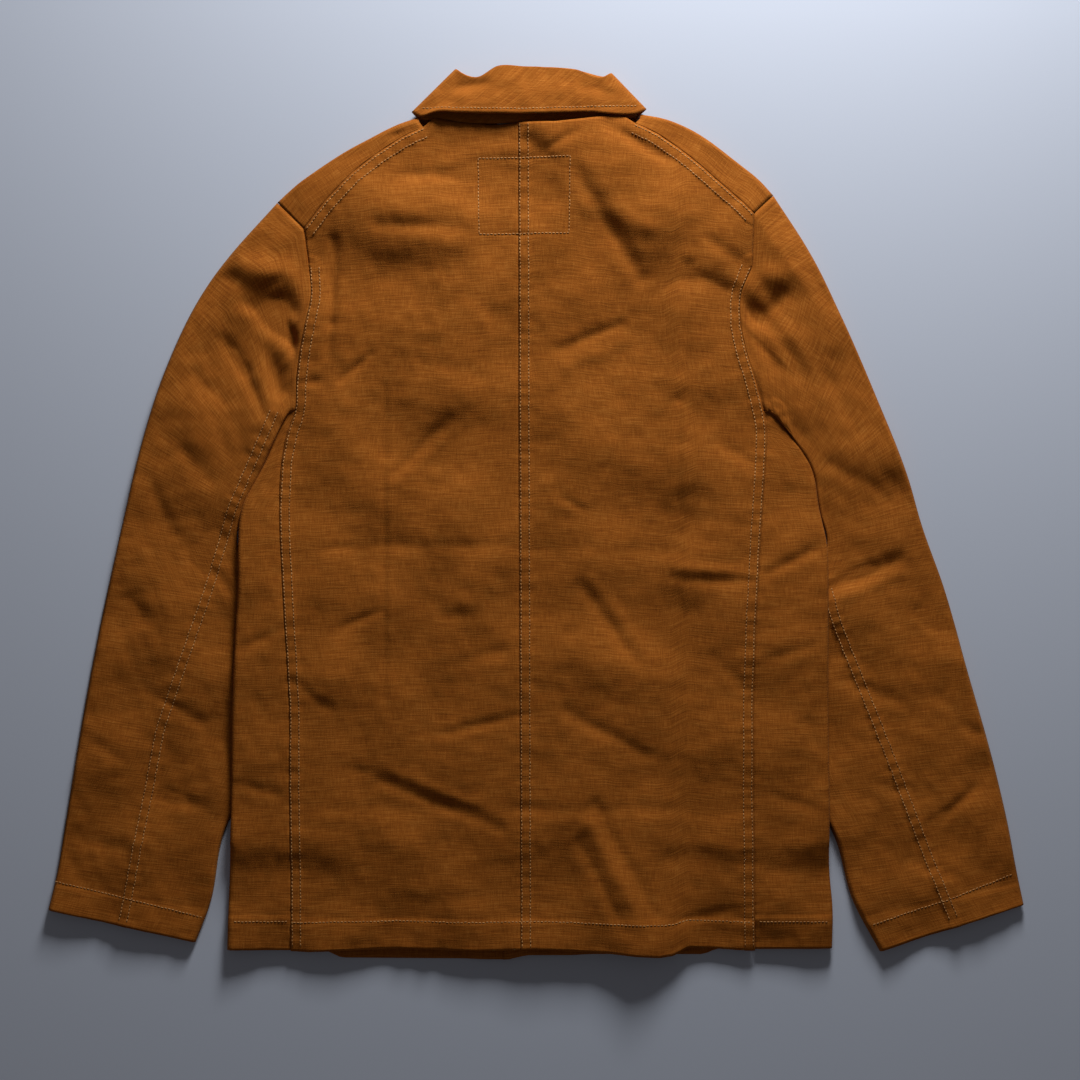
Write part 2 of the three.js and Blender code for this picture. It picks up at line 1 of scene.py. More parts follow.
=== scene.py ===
import bpy
import numpy as np
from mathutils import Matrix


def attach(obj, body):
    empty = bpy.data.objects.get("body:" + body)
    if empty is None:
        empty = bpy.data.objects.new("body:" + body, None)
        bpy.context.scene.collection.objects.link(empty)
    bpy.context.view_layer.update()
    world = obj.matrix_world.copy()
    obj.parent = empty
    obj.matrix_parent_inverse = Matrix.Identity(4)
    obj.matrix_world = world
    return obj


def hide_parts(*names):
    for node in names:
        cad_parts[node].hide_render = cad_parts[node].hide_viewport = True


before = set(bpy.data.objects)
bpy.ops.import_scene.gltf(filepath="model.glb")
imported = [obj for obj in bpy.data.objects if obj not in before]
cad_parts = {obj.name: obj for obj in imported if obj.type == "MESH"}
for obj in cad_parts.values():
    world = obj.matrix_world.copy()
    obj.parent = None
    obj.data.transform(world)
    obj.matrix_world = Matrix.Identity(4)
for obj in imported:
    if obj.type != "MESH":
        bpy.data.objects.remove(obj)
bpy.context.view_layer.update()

# ---------------------------------------------------------------- the two back panels
# Cotton duck, one ply, joined down the middle by a flat-felled seam. They are the upper layer of the
# jacket as it lies, and carry the creases of folding. Millimetres here, metres in the meshes.
WALL = 1.1
HALF = 0.6  # half the wall of the frame's cloth, so the height of its middle where it lies flat
SHIFT = np.array([0.0, 2.1, 0.0])  # from the tables' origin to the frame's


def table(names, *rows):
    """A short table with named columns."""
    return np.array(list(rows), dtype=[(n, float) for n in names.split()])


BODY = table(
    "y fold_l seam_l centre seam_r fold_r",
    (-394, -272, -216, -13.5, 193, 261), (-345, -271, -216, -13.6, 192, 261),
    (-322, -270, -216, -13.7, 192, 259), (-250, -268, -217, -14, 191, 258),
    (-172, -267, -217, -14.4, 191, 257), (-100, -264, -221, -14.8, 193, 257),
    (-66, -262, -223, -15, 195, 257), (-30, -262, -225, -15, 197, 256), (0, -260, -226, -15.2, 199, 250),
    (45, -238, -224, -15.4, 202, 240), (70, -228, -219, -15.4, 203, 222), (88, -219, -212, -15.5, 200, 210),
)
ARMHOLE = table(
    "y back_l front_l back_r front_r",
    (88, -212, -215, 200, 205), (115, -211, -203, 193, 193), (140, -208, -196, 185, 186),
    (165, -203, -192, 180, 183), (190, -198, -192, 180, 182), (215, -200, -197, 190, 187),
    (250, -206, -211, 197, 199),
)
SHOULDER_L = table(
    "x y seam_x seam_y",
    (-104, 346, -99, 337), (-124, 339, -118, 328), (-148, 327, -141, 313), (-172, 314, -161, 297),
    (-203, 293, -187, 270), (-217, 282, -197, 257), (-228, 272, -204, 248),
)
SHOULDER_R = table(
    "x y seam_x seam_y",
    (92, 349, 87, 340), (114, 345, 107, 331), (134, 337, 126, 318), (152, 326, 141, 306),
    (181, 304, 166, 284), (196, 292, 180, 272), (209, 278, 191, 261),
)
NECK_L = table("x y", (-15, 341), (-38, 339), (-64, 341), (-90, 345), (-99, 337))
NECK_R = table("x y", (-15, 341), (16, 341), (43, 344), (74, 348), (87, 340))
HEM = table("x y", (-273, -385), (-200, -388), (-120, -385), (-50, -387), (0, -385), (60, -388), (108, -392),
            (120, -391), (134, -384), (190, -387), (261, -384))

# Broad swells of the cloth where it does not lie down: half the width across and the height.
SWELLS = table(
    "x0 y0 x1 y1 half high",
    (-150, 190, -60, 150, 34, 2.2),
    (-200, 268, -160, 292, 20, 2.0), (60, 150, 110, 96, 30, 3.0),
    (-190, 150, -160, 20, 26, 2.6), (135, 180, 128, -40, 20, 2.8), (-120, -20, -60, -50, 30, 3.0),
    (30, 75, 84, 40, 26, 3.2), (-95, 95, -40, 110, 24, 2.4), (-180, -150, -60, -190, 28, 2.8),
    (20, -120, 110, -150, 26, 3.2), (-150, -290, -70, -340, 30, 2.8), (40, -250, 80, -384, 28, 4.4),
    (80, -340, 92, -392, 30, 4.5), (140, -230, 170, -330, 28, 2.6), (160, 20, 180, -20, 22, 2.0),
    (-60, -90, -20, -110, 22, 1.8), (-240, 10, -242, -60, 16, 1.6), (230, -120, 228, -200, 18, 1.6),
)
# Crests of the folds the back was stored in: slow on the left of their line and steep on its right.
FOLDS = table(
    "x0 y0 x1 y1 slow steep high",
    (36, 302, 134, 226, 62, 30, 9.2), (134, 226, 131, 120, 34, 20, 5.4), (131, 120, 130, -60, 26, 12, 2.0),
    (-150, 262, -76, 264, 30, 44, 6.4), (-76, 264, -54, 208, 26, 44, 5.2), (-54, 208, -22, 198, 24, 34, 3.4),
)
# Creases of the back as it came out of its folds: troughs are below zero, ridges above.
CREASES = table(
    "x0 y0 x1 y1 half high",
    (-115, 295, -23, 296, 6, -1.7), (-60, 312, -20, 318, 9, 0.8), (10, 318, 34, 332, 4, -1.1),
    (63, 338, 113, 309, 5, -1.6), (34, 300, 92, 206, 8, -2.2),
    (48, 268, 96, 250, 9, 1.4), (135, 216, 128, 98, 6, -2.0), (125, 98, 124, 10, 3.5, -1.0),
    (132, 98, 132, -380, 3.5, 0.9), (150, 98, 150, 10, 5, -1.0), (128, 10, 133, -380, 7, -0.7),
    (21, 142, 74, 164, 5, -1.5), (30, 128, 80, 150, 7, 0.9), (-137, 250, -71, 250, 7, -2.0),
    (-133, 110, -133, -165, 4, -0.9), (-129, 110, -129, -165, 3, 0.5), (-172, 115, -146, 137, 4, -1.3),
    (-135, 212, -75, 220, 14, -1.6),
    (-126, 31, -77, 80, 5, -1.6), (-118, 25, -70, 70, 5, 0.8), (-208, -33, -164, -32, 4, -1.4),
    (-164, -32, -14, -30, 6, -1.0), (-15, -32, 120, -36, 7, -0.7), (-171, -102, -136, -88, 4, -1.3),
    (-82, -92, -60, -92, 7, -1.6), (24, 10, 43, 1, 4, -1.3), (39, -65, 87, -131, 6, -1.7),
    (48, -60, 98, -128, 6, 0.9), (123, -50, 188, -54, 5, 1.4), (120, -60, 188, -63, 5, -1.2),
    (204, -55, 255, -30, 5, -1.6), (-84, -197, -18, -180, 5, -1.6), (-203, -223, -146, -230, 5, -1.4),
    (-136, -237, -32, -279, 6, -1.9), (-128, -228, -30, -268, 5, 0.9), (-200, -262, 170, -263, 7, -0.9),
    (-172, -281, -111, -320, 13, -1.9), (26, -177, 100, -215, 6, -1.6), (39, -290, 78, -369, 6, -1.9),
    (52, -259, 105, -356, 6, -1.8), (46, -275, 92, -362, 5, 1.4), (118, -306, 158, -306, 9, -1.6),
    (122, -362, 171, -351, 5, -1.4), (241, -184, 248, -206, 4, -1.4), (-178, 238, -180, 165, 5, -2.0),
    (-180, 165, -184, 137, 5, -1.8), (-200, 114, -190, 114, 5, -1.6), (-126, 334, -121, 331, 4, -1.3),
    (-60, 190, -20, 160, 8, -0.9), (-100, 130, -50, 120, 8, -0.8), (150, 240, 185, 215, 6, -1.1),
    (155, -130, 190, -160, 6, -1.0), (-60, -130, -20, -120, 6, -0.9), (160, 60, 195, 40, 6, -1.1),
    (-215, -150, -180, -175, 5, -1.1), (-90, -345, -30, -335, 7, -1.0), (-262, -120, -225, -105, 5, -1.2),
    (-265, -240, -225, -250, 5, -1.1), (210, -250, 255, -262, 5, -1.1), (205, -130, 250, -118, 5, -1.0),
)


def ramp(a, b, x):
    """0 before a and 1 after b, with a smooth cubic step between them."""
    t = np.clip((x - a) / (b - a), 0, 1)
    return t * t * (3 - 2 * t)


def mix(a, b, t):
    """The point a share t of the way from a to b."""
    return a + (b - a) * t


def curve(knots, values, s):
    """A cubic through each value at its knot, whose slope there is that of the chords beside it."""
    slope = np.gradient(values, knots)
    s = np.clip(s, knots[0], knots[-1])
    i = np.clip(np.searchsorted(knots, s, side="right") - 1, 0, len(knots) - 2)
    h = knots[i + 1] - knots[i]
    t = (s - knots[i]) / h
    a, b = values[i], values[i + 1]
    return (a + t * t * (3 - 2 * t) * (b - a)
            + h * t * (1 - t) * ((1 - t) * slope[i] - t * slope[i + 1]))


def lines(x, y, rows, taper=0.35):
    """Sum of soft ridges: high times exp(-(d / half) squared), d being the distance to the line of each
    row, and each made shallower by the taper towards its ends."""
    z = np.zeros(np.broadcast(x, y).shape)
    for r in rows:
        dx, dy = r["x1"] - r["x0"], r["y1"] - r["y0"]
        t = np.clip(((x - r["x0"]) * dx + (y - r["y0"]) * dy) / (dx * dx + dy * dy), 0, 1)
        away = np.hypot(x - r["x0"] - t * dx, y - r["y0"] - t * dy) / r["half"]
        z += r["high"] * np.exp(-away * away) * (1 - taper * np.abs(2 * t - 1) ** 2)
    return z


def folds(x, y, rows):
    """The highest of the crests at each place: high times exp(-(d / reach) squared), where the reach
    goes over from steep to slow across the line."""
    z = np.zeros(np.broadcast(x, y).shape)
    for r in rows:
        dx, dy = r["x1"] - r["x0"], r["y1"] - r["y0"]
        long = np.hypot(dx, dy)
        t = np.clip(((x - r["x0"]) * dx + (y - r["y0"]) * dy) / long ** 2, 0, 1)
        away = np.hypot(x - r["x0"] - t * dx, y - r["y0"] - t * dy)
        side = (dx * (y - r["y0"]) - dy * (x - r["x0"])) / long
        reach = mix(r["steep"], r["slow"], ramp(-10, 10, side))
        z = np.maximum(z, r["high"] * np.exp(-(away / reach) ** 2))
    return z


def crumple(x, y, seed, count=46, shortest=11.0, longest=70.0, high=0.17):
    """Sum of plane waves in scattered directions, each as high as the square root of its length."""
    rng = np.random.default_rng(seed)
    z = np.zeros(np.broadcast(x, y).shape)
    for length, turn, start in zip(np.geomspace(shortest, longest, count), rng.uniform(0, np.pi, count),
                                   rng.uniform(0, 6.3, count)):
        bend = 5 * np.sin(x / 47 + start) + 5 * np.sin(y / 53 - start)
        z += high * np.sqrt(length / longest) * np.sin(
            6.283 * ((x + bend) * np.cos(turn) + (y - bend) * np.sin(turn)) / length + start)
    return z


def level(x, y):
    """Height of the upper layer's middle before its creases: it clears the fronts at the middle, the
    sleeves tucked under its sides and the collar at the neck."""
    off = np.abs(x + 9)
    centre = 3.2 * ramp(95, 50, off)
    side = 4.8 * ramp(140, 180, off) * ramp(20, -30, y) * ramp(-320, -290, y)
    neck = 3.2 * ramp(170, 230, y) * ramp(190, 120, off)
    return 4.8 + np.maximum(np.maximum(centre, side), neck)


def upper(x, y):
    """Height of the upper layer's middle surface with its creases, kept by a soft maximum above the
    layers under it."""
    rest = level(x, y)
    swell = lines(x, y, SWELLS, 0.0) + folds(x, y, FOLDS) + crumple(x, y, 5, 11, 62, 190, 0.85)
    sharp = 1.1 + 0.4 * ramp(20, 160, y)
    z = rest + 1.4 + swell + sharp * lines(x, y, CREASES) + crumple(x, y, 3, 40, 13, 60, 0.075)
    least = rest - 0.8
    return (z + least + np.sqrt((z - least) ** 2 + 0.6)) / 2


def to_line(x, y, line):
    """Distance to a polyline, above zero on its left, and the length along it of the nearest point."""
    best = np.full(np.broadcast(x, y).shape, 1e9)
    side, along, run = np.zeros_like(best), np.zeros_like(best), 0.0
    for (ax, ay), (bx, by) in zip(line[:-1], line[1:]):
        long = np.hypot(bx - ax, by - ay)
        t = np.clip(((x - ax) * (bx - ax) + (y - ay) * (by - ay)) / long ** 2, 0, 1)
        d = np.hypot(x - ax - t * (bx - ax), y - ay - t * (by - ay))
        near = d < best
        turn = np.sign((bx - ax) * (y - ay) - (by - ay) * (x - ax))
        side = np.where(near, turn * d, side)
        along = np.where(near, run + t * long, along)
        best = np.minimum(best, d)
        run += long
    return side, along


def felled(x, y, line, width=10.0, high=0.55):
    """A flat-felled seam on the left of its line: a raised band with a groove along its folded edge, and
    a slow pucker of the cloth beside it."""
    d, s = to_line(x, y, line)
    band = high * ramp(-0.4, 0.8, d) * ramp(width + 1.2, width - 0.4, d)
    groove = -0.28 * np.exp(-((d + 1.6) / 1.8) ** 2)
    pucker = 0.3 * np.exp(-((d - width / 2) / 8) ** 2) * np.sin(s / 1.9 + 1.3 * np.sin(s / 7.7))
    return band + groove + pucker


def smooth_piece(name, points, faces):
    """A smooth-shaded object from points in millimetres and lists of their numbers."""
    mesh = bpy.data.meshes.new(name)
    mesh.from_pydata(((points + SHIFT) / 1000).tolist(), [], faces)
    mesh.polygons.foreach_set("use_smooth", np.ones(len(mesh.polygons), dtype=bool))
    mesh.update()
    piece = bpy.data.objects.new(name, mesh)
    bpy.context.scene.collection.objects.link(piece)
    return piece


def cloth(name, grids, node, wall=WALL, plan=None):
    """One piece of cloth: grids of points, in rows and columns, welded where they share a border. Its UV
    is the length along the columns and rows, in metres, or the plan given. A Solidify gives its wall."""
    points, corners, uvs, base = [], [], [], 0
    for grid, closed in grids:
        if closed:
            grid = np.concatenate([grid, grid[:, :1]], axis=1)
        rows, columns = grid.shape[:2]
        across = np.zeros((rows, columns))
        across[:, 1:] = np.cumsum(np.linalg.norm(np.diff(grid, axis=1), axis=2), axis=1)
        across -= across.mean(axis=1, keepdims=True)
        down = np.zeros((rows, columns))
        down[1:] = np.cumsum(np.linalg.norm(np.diff(grid, axis=0), axis=2), axis=0)
        if plan is not None:
            across, down = [np.concatenate([q, q[:, :1]], axis=1) for q in plan]
        k = base + np.arange(rows * columns).reshape(rows, columns)
        quads = np.stack([k[:-1, :-1], k[:-1, 1:], k[1:, 1:], k[1:, :-1]], axis=-1).reshape(-1, 4)
        points.append(grid.reshape(-1, 3))
        uvs.append(np.stack([across, down], axis=-1).reshape(-1, 2) / 1000)
        corners.append(quads)
        base += rows * columns
    points, uvs, corners = np.concatenate(points), np.concatenate(uvs), np.concatenate(corners)
    first, index = np.unique(np.round(points, 2), axis=0, return_index=True, return_inverse=True)[1:]
    piece = smooth_piece(name, points[first], index.reshape(-1)[corners].tolist())
    layer = piece.data.uv_layers.new(name="UVMap")
    layer.data.foreach_set("uv", uvs[corners.reshape(-1)].reshape(-1).astype(np.float32))
    piece.data.validate()
    piece.data.update()
    thick = piece.modifiers.new("wall", "SOLIDIFY")
    thick.thickness = wall / 1000
    thick.offset = 0
    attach(piece, "root")
    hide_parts(node)
    return piece


def duck(name, slant=0.0, seed=0.0):
    """Golden brown duck. Thick weft threads make ribs across the cloth and thin warp threads cross them:
    noise drawn out along each gives slubs, and broad noise gives the uneven dye of washed cotton."""
    made = bpy.data.materials.new(name)
    made.use_nodes = True
    nodes, links = made.node_tree.nodes, made.node_tree.links
    shader = nodes["Principled BSDF"]
    shader.inputs["Roughness"].default_value = 0.88
    shader.inputs["Specular IOR Level"].default_value = 0.10
    shader.inputs["Sheen Weight"].default_value = 0.07
    shader.inputs["Sheen Roughness"].default_value = 0.45
    shader.inputs["Sheen Tint"].default_value = (1.0, 0.66, 0.30, 1)
    uv = nodes.new("ShaderNodeUVMap")
    uv.uv_map = "UVMap"

    def noise(scale, across, along, detail, rough):
        place = nodes.new("ShaderNodeMapping")
        place.inputs["Rotation"].default_value = (0, 0, slant)
        place.inputs["Location"].default_value = (seed, seed * 0.7, seed)
        place.inputs["Scale"].default_value = (across, along, 1)
        links.new(uv.outputs["UV"], place.inputs["Vector"])
        made_noise = nodes.new("ShaderNodeTexNoise")
        made_noise.inputs["Scale"].default_value = scale
        made_noise.inputs["Detail"].default_value = detail
        made_noise.inputs["Roughness"].default_value = rough
        links.new(place.outputs["Vector"], made_noise.inputs["Vector"])
        return made_noise.outputs["Fac"]

    def sum_of(a, b, weight_a, weight_b):
        first, second = nodes.new("ShaderNodeMath"), nodes.new("ShaderNodeMath")
        first.operation, second.operation = "MULTIPLY", "MULTIPLY_ADD"
        links.new(a, first.inputs[0])
        first.inputs[1].default_value = weight_a
        links.new(b, second.inputs[0])
        second.inputs[1].default_value = weight_b
        links.new(first.outputs[0], second.inputs[2])
        return second.outputs[0]

    weft = noise(1.0, 42, 860, 3, 0.6)
    warp = noise(1.0, 980, 90, 2, 0.5)
    fleck = noise(1400, 1, 1, 2, 0.6)
    patch = noise(14, 1, 1, 4, 0.55)
    thread = sum_of(sum_of(weft, warp, 0.62, 0.38), fleck, 0.70, 0.30)
    tone = sum_of(thread, patch, 0.93, 0.07)
    colours = nodes.new("ShaderNodeValToRGB")
    links.new(tone, colours.inputs["Fac"])
    ramp_ends = colours.color_ramp.elements
    ramp_ends[0].position, ramp_ends[0].color = 0.33, (0.165, 0.040, 0.0038, 1)
    ramp_ends[1].position, ramp_ends[1].color = 0.68, (0.490, 0.180, 0.0290, 1)
    middle = ramp_ends.new(0.5)
    middle.color = (0.315, 0.093, 0.0090, 1)
    links.new(colours.outputs["Color"], shader.inputs["Base Color"])
    bump = nodes.new("ShaderNodeBump")
    bump.inputs["Strength"].default_value = 0.75
    bump.inputs["Distance"].default_value = 0.0007
    links.new(thread, bump.inputs["Height"])
    links.new(bump.outputs["Normal"], shader.inputs["Normal"])
    return made


body_duck = duck("duck_body")


def edge_of(side):
    """The line of one back panel's outer edge: its side seam, and the armhole above it."""
    return (np.concatenate([BODY["y"], ARMHOLE["y"][1:-1]]),
            np.concatenate([BODY[f"seam_{side}"], ARMHOLE[f"back_{side}"][1:-1]]))


def back_grid(side, sign, neck, shoulder):
    """Rows from hem to chest between the centre seam and the outer edge, then rows that turn gradually
    into the line of the neck and the shoulder seam."""
    u = np.linspace(0, 1, 94)
    y = np.linspace(-386, 215, 250)[:, None]
    inner = curve(BODY["y"], BODY["centre"], y) + 0.12 * sign
    ys, xs = edge_of(side)
    outer = curve(ys, xs, y) - 0.1 * sign
    x = inner + (outer - inner) * u
    hem = np.interp(x, HEM["x"], HEM["y"])
    below = y + (hem + 386) * ramp(-320, -386, y)
    top_x = mix(inner[-1], shoulder["seam_x"][-1] - 0.1 * sign, u)
    line = np.concatenate([np.stack([neck["x"], neck["y"]], 1),
                           np.stack([shoulder["seam_x"], shoulder["seam_y"] - 0.2], 1)[1:]])
    line = line[np.argsort(line[:, 0])]
    top_y = np.interp(top_x, line[:, 0], line[:, 1])
    t = np.linspace(0, 1, 56)[1:, None]
    x = np.concatenate([x, mix(x[-1], top_x, t)])
    y = np.concatenate([below, mix(215.0, top_y, t)])
    return x, y


def seam_line(side):
    """The felled edge at the outside of a back, side seam and armhole, as one polyline."""
    ys, xs = edge_of(side)
    return np.stack([xs, ys], 1)


CENTRE_LINE = np.stack([np.interp([-394, 345], BODY["y"], BODY["centre"]), [-394, 345]], 1)
LABEL_BOX = np.array([(-51, 310), (30, 311), (29, 244), (-50, 243), (-51, 310)])
shoulder_line = {"l": np.stack([SHOULDER_L["seam_x"], SHOULDER_L["seam_y"]], 1),
                 "r": np.stack([SHOULDER_R["seam_x"], SHOULDER_R["seam_y"]], 1)}


def turned_hem(y):
    """One millimetre more below the row where the hem's turned edge lies."""
    return ramp(-359.5, -361.5, y)


def back_height(x, y):
    """The upper layer with its felled seams, its turned hem and the print of the label's stitches."""
    z = upper(x, y)
    left, right = seam_line("l"), seam_line("r")
    z = z + felled(x, y, left[::-1]) + felled(x, y, right)
    z = z + felled(x, y, CENTRE_LINE[::-1], 9.5)
    z = z + felled(x, y, shoulder_line["l"], 9.5, 0.6) * (y > 240)
    z = z + felled(x, y, shoulder_line["r"][::-1], 9.5, 0.6) * (y > 240)
    d, s = to_line(x, y, LABEL_BOX)
    z = z - 0.35 * np.exp(-(d / 1.6) ** 2) * (1 + 0.4 * np.sin(s / 1.4))
    waver = 0.35 * ramp(-345, -384, y) * np.sin(x / 5.3 + 2 * np.sin(x / 17))
    return z + turned_hem(y) + waver


surface = {}
for side, sign, neck, shoulder in (("l", -1, NECK_L, SHOULDER_L), ("r", 1, NECK_R, SHOULDER_R)):
    x, y = back_grid(side, sign, neck, shoulder)
    grid = np.stack([x, y, back_height(x, y)], -1)
    surface[f"back_{side}"] = grid.reshape(-1, 3)
    word = "left" if side == "l" else "right"
    piece = cloth(f"back_{word}_cloth", [(grid if sign > 0 else grid[:, ::-1], False)], f"back_{word}")
    piece.data.materials.append(body_duck)

# ---------------------------------------------------------------- the two fronts
# Cotton duck, cut in one with the strips that wrap round the sides and the shoulders to the back. The
# left front laps outside the right one, so it lies lowest, with the buttons and pockets under it.
FRONT_HEM = table("x y", (-273, -386), (-187, -387), (-172, -394), (-25, -395), (-8, -391), (148, -391),
                  (160, -386), (261, -385))
FRONT_NECK_L = table("x y", (11, 270), (-34, 276), (-62, 293), (-75, 306))
FRONT_NECK_R = table("x y", (-29, 270), (20, 277), (48, 294), (62, 308))
NECK_SHARE, NECK_COLUMNS = 0.46, 24  # how far across the panel its neck point is, and the columns to it
FRONT_EDGE, FOLD_MIDDLE, STRIP_START = 52, 57, 62  # columns where a skirt's fold begins, turns and ends
ARM_FOOT, ARM_TOP = 88, 250  # the rows between which the armhole lies on a front
POCKETS = {"hip": (0.32, 0.93, -326, -140), "chest": (0.32, 0.78, 40, 160)}


def front_lift(c, y, placket, pockets):
    """How high the outer face of a front lies: over the buttons, a pocket, a sleeve or a collar leaf."""
    buttons = placket * ramp(0.28, 0.2, c)
    leaf = 2.6 * ramp(190, 215, y) * ramp(0.93, 0.78, c)
    sleeve = 4.8 * ramp(0.62, 0.78, c) * ramp(0, -30, y) * ramp(-300, -290, y)
    pocket = 0 * c * y
    for name in pockets:
        c0, c1, y0, y1 = POCKETS[name]
        inside = ramp(c0 - 0.04, c0, c) * ramp(c1 + 0.035, c1, c)
        inside = inside * ramp(y0 - 8, y0, y) * ramp(y1 + 8, y1, y)
        pocket = np.maximum(pocket, 1.5 * inside)
    return np.maximum(np.maximum(buttons, leaf), sleeve + pocket)


def wrap_height(x, y):
    """The strips that wrap to the back: the upper layer, sunk a little along the felled edge."""
    left, right = felled(x, y, seam_line("l")[::-1], 10, 0.0), felled(x, y, seam_line("r"), 10, 0.0)
    return upper(x, y) + turned_hem(y) + left + right


def front_grids(side, sign, placket_x, placket, pockets, neck, shoulder):
    """Three grids that share borders: the skirt with its fold at the side and the strip behind it, the
    chest, and the fold over the shoulder with the strip behind it."""
    c = np.concatenate([np.linspace(0, NECK_SHARE, NECK_COLUMNS), np.linspace(NECK_SHARE, 1, 30)[1:]])

    def side_fold(y):
        fold = curve(BODY["y"], BODY[f"fold_{side}"], y)
        low = front_lift(np.ones_like(y), y, placket, pockets) + HALF
        high = wrap_height(fold, y)
        radius = (high - low) / 2
        return fold, low, high, radius, fold - sign * (HALF + radius)

    y = np.linspace(-394, ARM_FOOT, 210)[:, None]
    fold, low, high, radius, start = side_fold(y)
    start = np.where(y >= ARM_FOOT, ARMHOLE[f"front_{side}"][0], start)
    x = placket_x + (start - placket_x) * c
    z = front_lift(c + 0 * y, y + 0 * c, placket, pockets) + HALF
    a = np.linspace(0, np.pi, 10)[None, 1:]
    arc_x, arc_z = start + sign * radius * np.sin(a), mix(low, high, (1 - np.cos(a)) / 2)
    seam = curve(BODY["y"], BODY[f"seam_{side}"], y) + 0.1 * sign
    t = np.linspace(0, 1, 27)[None, 1:]
    strip_x = mix(start, seam, t)
    strip_z = wrap_height(mix(fold, seam, t), y + 0 * t)
    xs = np.concatenate([x, arc_x, strip_x], 1)
    zs = np.concatenate([z, arc_z, strip_z], 1)
    hem = np.interp(xs, FRONT_HEM["x"], FRONT_HEM["y"])
    ys = y + (hem + 394) * ramp(-330, -394, y) + 0 * xs
    skirt = np.stack([xs, ys, zs], -1)

    k = np.linspace(0, 1, 30)
    way = np.linspace(0, 1, len(shoulder))
    fx, fy = curve(way, shoulder["x"], k), curve(way, shoulder["y"], k)
    sx, sy = curve(way, shoulder["seam_x"], k), curve(way, shoulder["seam_y"], k)
    ax, ay = np.gradient(fx), np.gradient(fy)
    long = np.hypot(ax, ay)
    ox, oy = -sign * ay / long, sign * ax / long
    low = front_lift(mix(NECK_SHARE, 1, k), ARM_TOP + 0 * k, placket, pockets) + HALF
    high = upper(fx, fy)
    radius = (high - low) / 2
    bx, by = fx - ox * (HALF + radius), fy - oy * (HALF + radius)
    neck_x = mix(placket_x, bx[0], np.linspace(0, 1, NECK_COLUMNS)[:-1])
    line = np.concatenate([np.stack([neck["x"], neck["y"]], 1), [[bx[0], by[0]]]])
    line = line[np.argsort(line[:, 0])]
    top_x = np.concatenate([neck_x, bx])
    top_y = np.concatenate([np.interp(neck_x, line[:, 0], line[:, 1]), by])
    inner = c[:NECK_COLUMNS - 1]
    top_z = np.concatenate([front_lift(inner, ARM_TOP + 0 * inner, placket, pockets) + HALF, low])

    y = np.linspace(ARM_FOOT, ARM_TOP, 42)[:, None]
    edge = curve(ARMHOLE["y"], ARMHOLE[f"front_{side}"], y)
    x = placket_x + (edge - placket_x) * c
    z = front_lift(c + 0 * y, y + 0 * c, placket, pockets) + HALF
    t = np.linspace(0, 1, 12)[1:, None]
    turned = np.stack([mix(x[-1], top_x, t), mix(ARM_TOP, top_y, t), mix(z[-1], top_z, t)], -1)
    chest = np.concatenate([np.stack([x, y + 0 * x, z], -1), turned])

    a = np.linspace(0, np.pi, 10)[:, None]
    arc_z = mix(low, high, (1 - np.cos(a)) / 2)
    arc = np.stack([bx + ox * radius * np.sin(a), by + oy * radius * np.sin(a), arc_z], -1)
    t = np.linspace(0, 1, 12)[1:, None]
    strip = np.stack([mix(bx, sx, t), mix(by, sy, t), upper(mix(fx, sx, t), mix(fy, sy, t))], -1)
    return skirt, chest, np.concatenate([arc, strip])


FRONTS = {
    "l": (-1, 11, 3.5, ("hip", "chest"), FRONT_NECK_L, SHOULDER_L),
    "r": (1, -29, 5.0, ("hip",), FRONT_NECK_R, SHOULDER_R),
}
for side, facts in FRONTS.items():
    grids = front_grids(side, *facts)
    word = "left" if side == "l" else "right"
    surface[f"front_{side}"] = grids[0]
    surface[f"wrap_{side}"] = grids[0][:, STRIP_START:].reshape(-1, 3)
    surface[f"shoulder_{side}"] = grids[2]
    piece = cloth(f"front_{word}_cloth", [(g if side == "l" else g[:, ::-1], False) for g in grids],
                  f"front_{word}")
    piece.data.materials.append(body_duck)

# ---------------------------------------------------------------- the sleeves
# Each is one panel of duck closed by a felled seam under the arm, flattened by its own weight. Its head
# is sewn into the armhole, and its inner edge is tucked under the side of the body.
SLEEVE_L = table(
    "out_x out_y in_x in_y high",
    (-228, 272, -219, 90, 8.6), (-266, 230, -222, 88, 8.4), (-297, 187, -231, 62, 8.0),
    (-327, 124, -242.5, 34, 7.4), (-353, 40, -260, -4, 6.6), (-363, -3, -263.5, -28, 4.6),
    (-377, -66, -241, -86, 4.5), (-390, -129, -240, -155, 4.5),
    (-404, -207, -252, -232, 4.5), (-415, -275, -277, -290, 4.6), (-423, -322, -287, -345, 5.4),
    (-430, -351, -300, -380, 6.2),
)
SLEEVE_R = table(
    "out_x out_y in_x in_y high",
    (209, 278, 209, 90, 8.6), (237, 235, 212.5, 88, 8.4), (267, 176, 227.5, 62, 8.0),
    (299, 103, 243.5, 34, 7.4), (328, 30, 250.8, -4, 6.6), (339, -8, 256.6, -28, 4.6),
    (360, -68, 234, -90, 4.5), (381, -142, 231, -160, 4.5),
    (403, -220, 240, -238, 4.5), (416, -275, 265, -292, 4.6), (424, -318, 280, -345, 5.4),
    (430, -347, 303, -388, 6.2),
)
